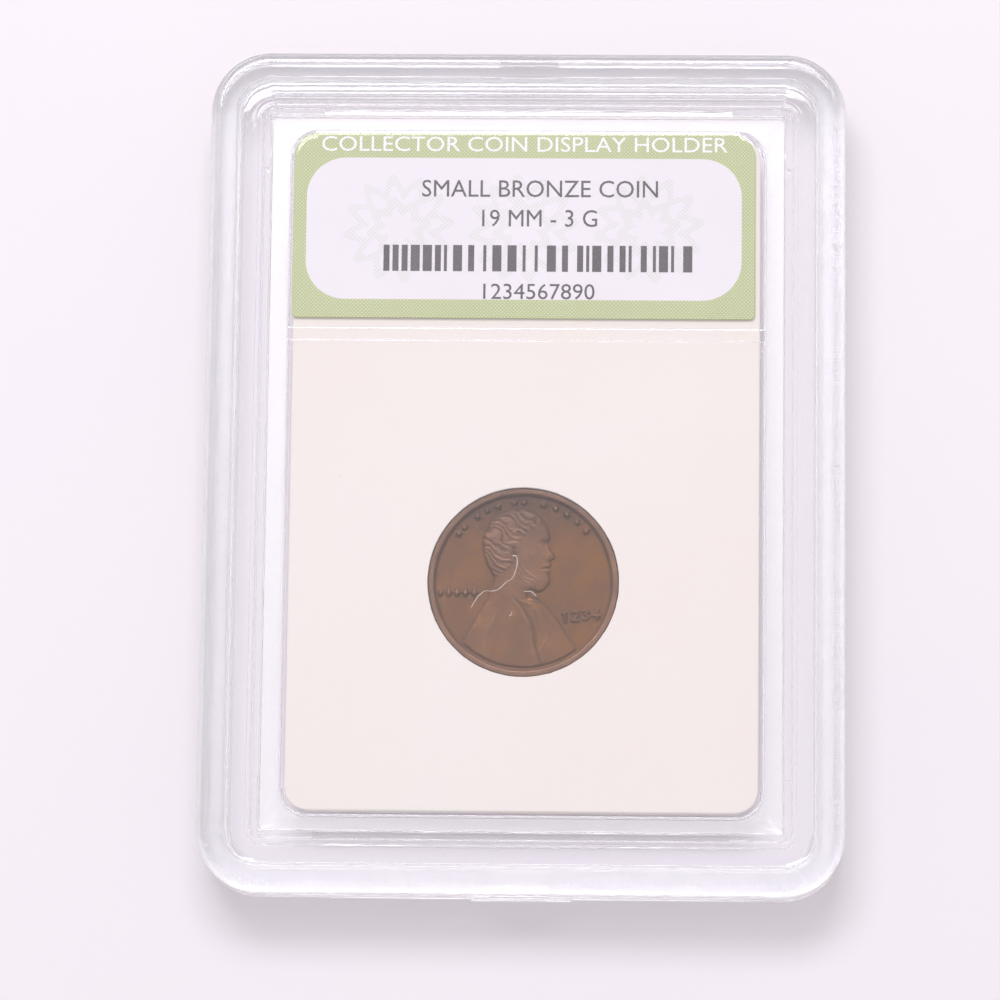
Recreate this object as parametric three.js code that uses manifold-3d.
// Graded coin slab: a clear two-part holder, welded shut round its edge, with a printed card
// and a coin held in a white insert. Millimetres. +X is the width, +Y runs to the label end,
// +Z is the front face. The origin is the middle of the back face, which the slab rests on.
import * as THREE from "three";
import { mergeVertices } from "three/addons/utils/BufferGeometryUtils.js";
import Module from "manifold-3d";

// Holder, outside
const slabWidth = 64;
const slabLength = 85;
const cornerRadius = 6;
const edgeRound = 1.1;
const rimLand = 2.7; // width of the raised border that slabs stack on
const rimHeight = 0.5;
const partingGap = 0.15;

// Holder, inside
const windowThickness = 2;
const wallThickness = 2.8;
const sideBorder = 8; // from the outside to the pocket, on the long sides
const endBorder = 7.7; // the same at the ends
const pocketRadius = 2.8;
const pocketSideWall = 1.9;
const pocketEndWall = 1.4;
const wallCornerRadius = 0.4;
const ribClearance = 0.2; // round each locating rib
const cornerRibThickness = 0.5;
const cornerRibLeg = 6;
const cornerRibTip = 0.4; // stops short of the back window
const ringThickness = 0.5;
const ringRadius = 1.6;
const ringTip = 0.3; // stops short of the front window

// Weld between the shells
const beadInset = 1;
const beadWidth = 1.3;
const beadHeight = 1;
const beadClearance = 0.15;
const weldGap = 5.7; // stretch without a weld, at the bottom slot

// Moulding marks on the bottom and top edges
const slotWidth = 6;
const slotDepth = 0.6;
const slotHeight = 1.2;
const gateWidth = 10.1;
const gateProud = 0.2;
const gateHeight = 1.4;

// Coin and the insert that grips it
const coinDiameter = 19.05;
const coinThickness = 1.52;
const coinFit = 0.15; // round the coin
const coinRecess = 0.3; // below each face of the insert
const coinDrop = 0.4; // below the middle of the space under the divider bar
const insertGap = 0.5; // to the pocket, all round
const insertLift = 0.1; // off the back window

// Printed card, over the insert
const cardLength = 19.1;
const cardThickness = 0.25;
const cardLift = 0.1; // off the insert
const cardHeadroom = 0.43; // under the front window
const cardSideGap = 0.2; // inside the insert's edges
const cardTopGap = 0.2; // inside the pocket wall
const cardShift = -0.35; // how far off centre it has slipped
const cardTopRadius = 2.4;
const cardBottomRadius = 0.5;

// Divider bar between the card and the coin
const dividerWidth = 1.25;
const dividerGap = 1.1; // below the card
const dividerTip = 0.15; // stops short of the insert

const cornerSteps = 8;
const roundSteps = 4;
const holeSteps = 96;
const leastRadius = 0.3;

// Heights that the pieces share
const insertThickness = coinThickness + 2 * coinRecess;
const cavityDepth = insertLift + insertThickness + cardLift + cardThickness + cardHeadroom;
const slabDepth = 2 * (rimHeight + windowThickness) + cavityDepth;
const parting = slabDepth / 2;
const backWindow = rimHeight + windowThickness;
const frontWindow = slabDepth - backWindow;
const insertBase = backWindow + insertLift;
const insertTop = insertBase + insertThickness;
const insertMiddle = (insertBase + insertTop) / 2;

// Plan sizes that the pieces share
const pocketWidth = slabWidth - 2 * sideBorder;
const pocketLength = slabLength - 2 * endBorder;
const insertWidth = pocketWidth - 2 * insertGap;
const insertLength = pocketLength - 2 * insertGap;
const wallWidth = pocketWidth + 2 * pocketSideWall;
const wallLength = pocketLength + 2 * pocketEndWall;
const ribWidth = wallWidth + 2 * (ribClearance + cornerRibThickness);
const ribLength = wallLength + 2 * (ribClearance + cornerRibThickness);
const ringWidth = ribWidth + 2 * (ribClearance + ringThickness);
const ringLength = ribLength + 2 * (ribClearance + ringThickness);

// Places along the length
const cardTop = pocketLength / 2 - cardTopGap;
const cardMiddle = cardTop - cardLength / 2;
const dividerTop = cardTop - cardLength - dividerGap;
const dividerMiddle = dividerTop - dividerWidth / 2;
const coinY = (dividerTop - dividerWidth - pocketLength / 2) / 2 - coinDrop;

const wasm = await Module();
wasm.setup();

// A closed three.js geometry as a solid that can be joined and cut
function solid(geometry) {
  const bare = geometry.index ? geometry.toNonIndexed() : geometry.clone();
  bare.deleteAttribute("normal");
  bare.deleteAttribute("uv");
  const merged = mergeVertices(bare, 1e-4);
  return new wasm.Manifold(
    new wasm.Mesh({
      numProp: 3,
      vertProperties: merged.attributes.position.array,
      triVerts: new Uint32Array(merged.index.array),
    }),
  );
}

// A solid as a named mesh of its own material
function piece(name, body, material) {
  const { vertProperties, triVerts } = body.getMesh();
  const geometry = new THREE.BufferGeometry();
  geometry.setAttribute("position", new THREE.BufferAttribute(new Float32Array(vertProperties), 3));
  geometry.setIndex(new THREE.BufferAttribute(new Uint32Array(triVerts), 1));
  geometry.computeVertexNormals();
  const mesh = new THREE.Mesh(geometry, material);
  mesh.name = name;
  return mesh;
}

// Rectangle about (x, y) with its own radius at the top and the bottom corners
function roundedRectangle(width, length, topRadius, bottomRadius = topRadius, x = 0, y = 0) {
  const [left, right, low, high] = [x - width / 2, x + width / 2, y - length / 2, y + length / 2];
  const shape = new THREE.Shape();
  shape.moveTo(left + bottomRadius, low);
  shape.absarc(right - bottomRadius, low + bottomRadius, bottomRadius, -Math.PI / 2, 0);
  shape.absarc(right - topRadius, high - topRadius, topRadius, 0, Math.PI / 2);
  shape.absarc(left + topRadius, high - topRadius, topRadius, Math.PI / 2, Math.PI);
  shape.absarc(left + bottomRadius, low + bottomRadius, bottomRadius, Math.PI, 1.5 * Math.PI);
  shape.closePath();
  return shape;
}

// Corner radius of the slab's outline, moved inwards
function insetRadius(inset) {
  return Math.max(cornerRadius - inset, leastRadius);
}

// The slab's outline, moved inwards
function insetOutline(inset) {
  return roundedRectangle(slabWidth - 2 * inset, slabLength - 2 * inset, insetRadius(inset));
}

// A shape as a plate between two heights
function plate(shape, bottom, top) {
  const geometry = new THREE.ExtrudeGeometry(shape, {
    depth: top - bottom,
    bevelEnabled: false,
    curveSegments: cornerSteps,
  });
  return solid(geometry.translate(0, 0, bottom));
}

function box(width, length, height, x, y, z) {
  return solid(new THREE.BoxGeometry(width, length, height).translate(x, y, z));
}

// A wall that follows a rounded rectangle, between two heights
function frame(width, length, radius, sideWall, endWall, innerRadius, bottom, top) {
  const outside = plate(roundedRectangle(width, length, radius), bottom, top);
  const inner = roundedRectangle(width - 2 * sideWall, length - 2 * endWall, innerRadius);
  return outside.subtract(plate(inner, bottom - 1, top + 1));
}

// The whole outside of the slab, with its edges rounded
function slabOutside() {
  const geometry = new THREE.ExtrudeGeometry(insetOutline(0), {
    depth: slabDepth - 2 * edgeRound,
    bevelThickness: edgeRound,
    bevelSize: edgeRound,
    bevelOffset: -edgeRound,
    bevelSegments: roundSteps,
    curveSegments: cornerSteps,
  });
  return solid(geometry.translate(0, 0, edgeRound));
}

// One half of the outside, hollowed to a tray: window, border and outer wall
function tray(bottom, top, windowInside, windowOutside) {
  const middle = (bottom + top) / 2;
  const half = slabOutside().intersect(
    box(slabWidth + 2, slabLength + 2, top - bottom, 0, 0, middle),
  );
  const panel = plate(insetOutline(rimLand), ...windowOutside);
  const hollow = plate(insetOutline(wallThickness), ...windowInside);
  return half.subtract(panel).subtract(hollow);
}

// The wall round the pocket: square outside, rounded inside
function pocketWall(bottom, top) {
  return frame(
    wallWidth,
    wallLength,
    wallCornerRadius,
    pocketSideWall,
    pocketEndWall,
    pocketRadius,
    bottom,
    top,
  );
}

// The groove that the weld bead fills, or the bead itself when the clearance is 0
function beadRing(clearance) {
  const inset = beadInset - clearance;
  const width = beadWidth + 2 * clearance;
  const half = beadHeight / 2 + clearance;
  const outside = plate(insetOutline(inset), parting - half, parting + half);
  return outside.subtract(plate(insetOutline(inset + width), parting - half - 1, parting + half + 1));
}

// The slots in the two ends where the halves can be prised apart
function endSlots() {
  const slot = (side) =>
    box(slotWidth, 2 * slotDepth, slotHeight, 0, (side * slabLength) / 2, parting);
  return slot(1).add(slot(-1));
}

// Four L-shaped ribs that hug the corners of the pocket wall
function cornerRibs(bottom, top) {
  const ring = frame(
    ribWidth,
    ribLength,
    ringRadius - ringThickness,
    cornerRibThickness,
    cornerRibThickness,
    wallCornerRadius,
    bottom,
    top,
  );
  const height = top - bottom + 2;
  const middle = (bottom + top) / 2;
  const sideGap = box(ribWidth + 2, ribLength - 2 * cornerRibLeg, height, 0, 0, middle);
  const endGap = box(ribWidth - 2 * cornerRibLeg, ribLength + 2, height, 0, 0, middle);
  return ring.subtract(sideGap).subtract(endGap);
}

function backShell() {
  const edge = parting - partingGap / 2;
  const gateY = -slabLength / 2;
  const gate = box(gateWidth, 2 * gateProud, gateHeight, 0, gateY, edgeRound + gateHeight / 2);
  const ring = frame(
    ringWidth,
    ringLength,
    ringRadius,
    ringThickness,
    ringThickness,
    ringRadius - ringThickness,
    backWindow - windowThickness / 2,
    frontWindow - ringTip,
  );
  return tray(0, edge, [backWindow, slabDepth], [-1, rimHeight])
    .add(pocketWall(backWindow - windowThickness / 2, edge))
    .add(ring)
    .add(gate)
    .subtract(beadRing(beadClearance))
    .subtract(endSlots());
}

function frontShell() {
  const edge = parting + partingGap / 2;
  const root = frontWindow + windowThickness / 2;
  const bar = box(
    pocketWidth + pocketSideWall,
    dividerWidth,
    root - insertTop - dividerTip,
    0,
    dividerMiddle,
    (root + insertTop + dividerTip) / 2,
  );
  const shell = tray(edge, slabDepth, [-1, frontWindow], [slabDepth - rimHeight, slabDepth + 1]);
  return shell
    .add(pocketWall(edge, root))
    .add(cornerRibs(backWindow + cornerRibTip, root))
    .add(bar)
    .subtract(beadRing(beadClearance))
    .subtract(endSlots());
}

function weldBead() {
  const gap = box(weldGap, 4 * beadWidth, 2 * beadHeight, 0, -slabLength / 2 + beadInset, parting);
  return beadRing(0).subtract(gap);
}

// White core with the round hole that grips the coin
function coinInsert() {
  const sheet = roundedRectangle(insertWidth, insertLength, pocketRadius - insertGap);
  const hole = new THREE.CylinderGeometry(
    coinDiameter / 2 + coinFit,
    coinDiameter / 2 + coinFit,
    3 * insertThickness,
    holeSteps,
  );
  hole.rotateX(Math.PI / 2).translate(0, coinY, insertMiddle);
  return plate(sheet, insertBase, insertTop).subtract(solid(hole));
}

// Printed card that lies over the insert, above the divider bar
function card() {
  const width = insertWidth - 2 * cardSideGap;
  const bottom = insertTop + cardLift;
  const shape = roundedRectangle(width, cardLength, cardTopRadius, cardBottomRadius, cardShift, cardMiddle);
  return plate(shape, bottom, bottom + cardThickness);
}

// Struck disc: a raised rim with softened corners on both faces, round a lower field
function coin() {
  const radius = coinDiameter / 2;
  const half = coinThickness / 2;
  const rimWidth = 0.7;
  const field = 0.18; // below the rim
  const corner = 0.12;
  const slope = 0.25;
  const upper = [
    [radius - rimWidth - slope, half - field],
    [radius - rimWidth, half],
    [radius - corner, half],
    [radius, half - corner],
  ];
  const lower = upper.map(([r, z]) => [r, -z]);
  const profile = [[0, field - half], ...lower, ...upper.reverse(), [0, half - field]];
  const points = profile.map(([r, z]) => new THREE.Vector2(r, z));
  const geometry = new THREE.LatheGeometry(points, holeSteps);
  return solid(geometry.rotateX(Math.PI / 2).translate(0, coinY, insertMiddle));
}

const clearPlastic = new THREE.MeshStandardMaterial({
  color: 0xf0eff8,
  roughness: 0.08,
  metalness: 0,
  transparent: true,
  opacity: 0.3,
});
const frostedPlastic = new THREE.MeshStandardMaterial({ color: 0xeeecf4, roughness: 0.6, metalness: 0 });
const whitePlastic = new THREE.MeshStandardMaterial({ color: 0xf6efee, roughness: 0.85, metalness: 0 });
const greenCard = new THREE.MeshStandardMaterial({ color: 0xc5d0a0, roughness: 0.7, metalness: 0 });
const wornBronze = new THREE.MeshStandardMaterial({ color: 0x8b6a5a, roughness: 0.45, metalness: 0.9 });

const slab = new THREE.Group();
slab.add(
  piece("front_shell", frontShell(), clearPlastic),
  piece("back_shell", backShell(), clearPlastic),
  piece("weld_bead", weldBead(), frostedPlastic),
  piece("coin_insert", coinInsert(), whitePlastic),
  piece("label_card", card(), greenCard),
  piece("coin", coin(), wornBronze),
);

export default slab;
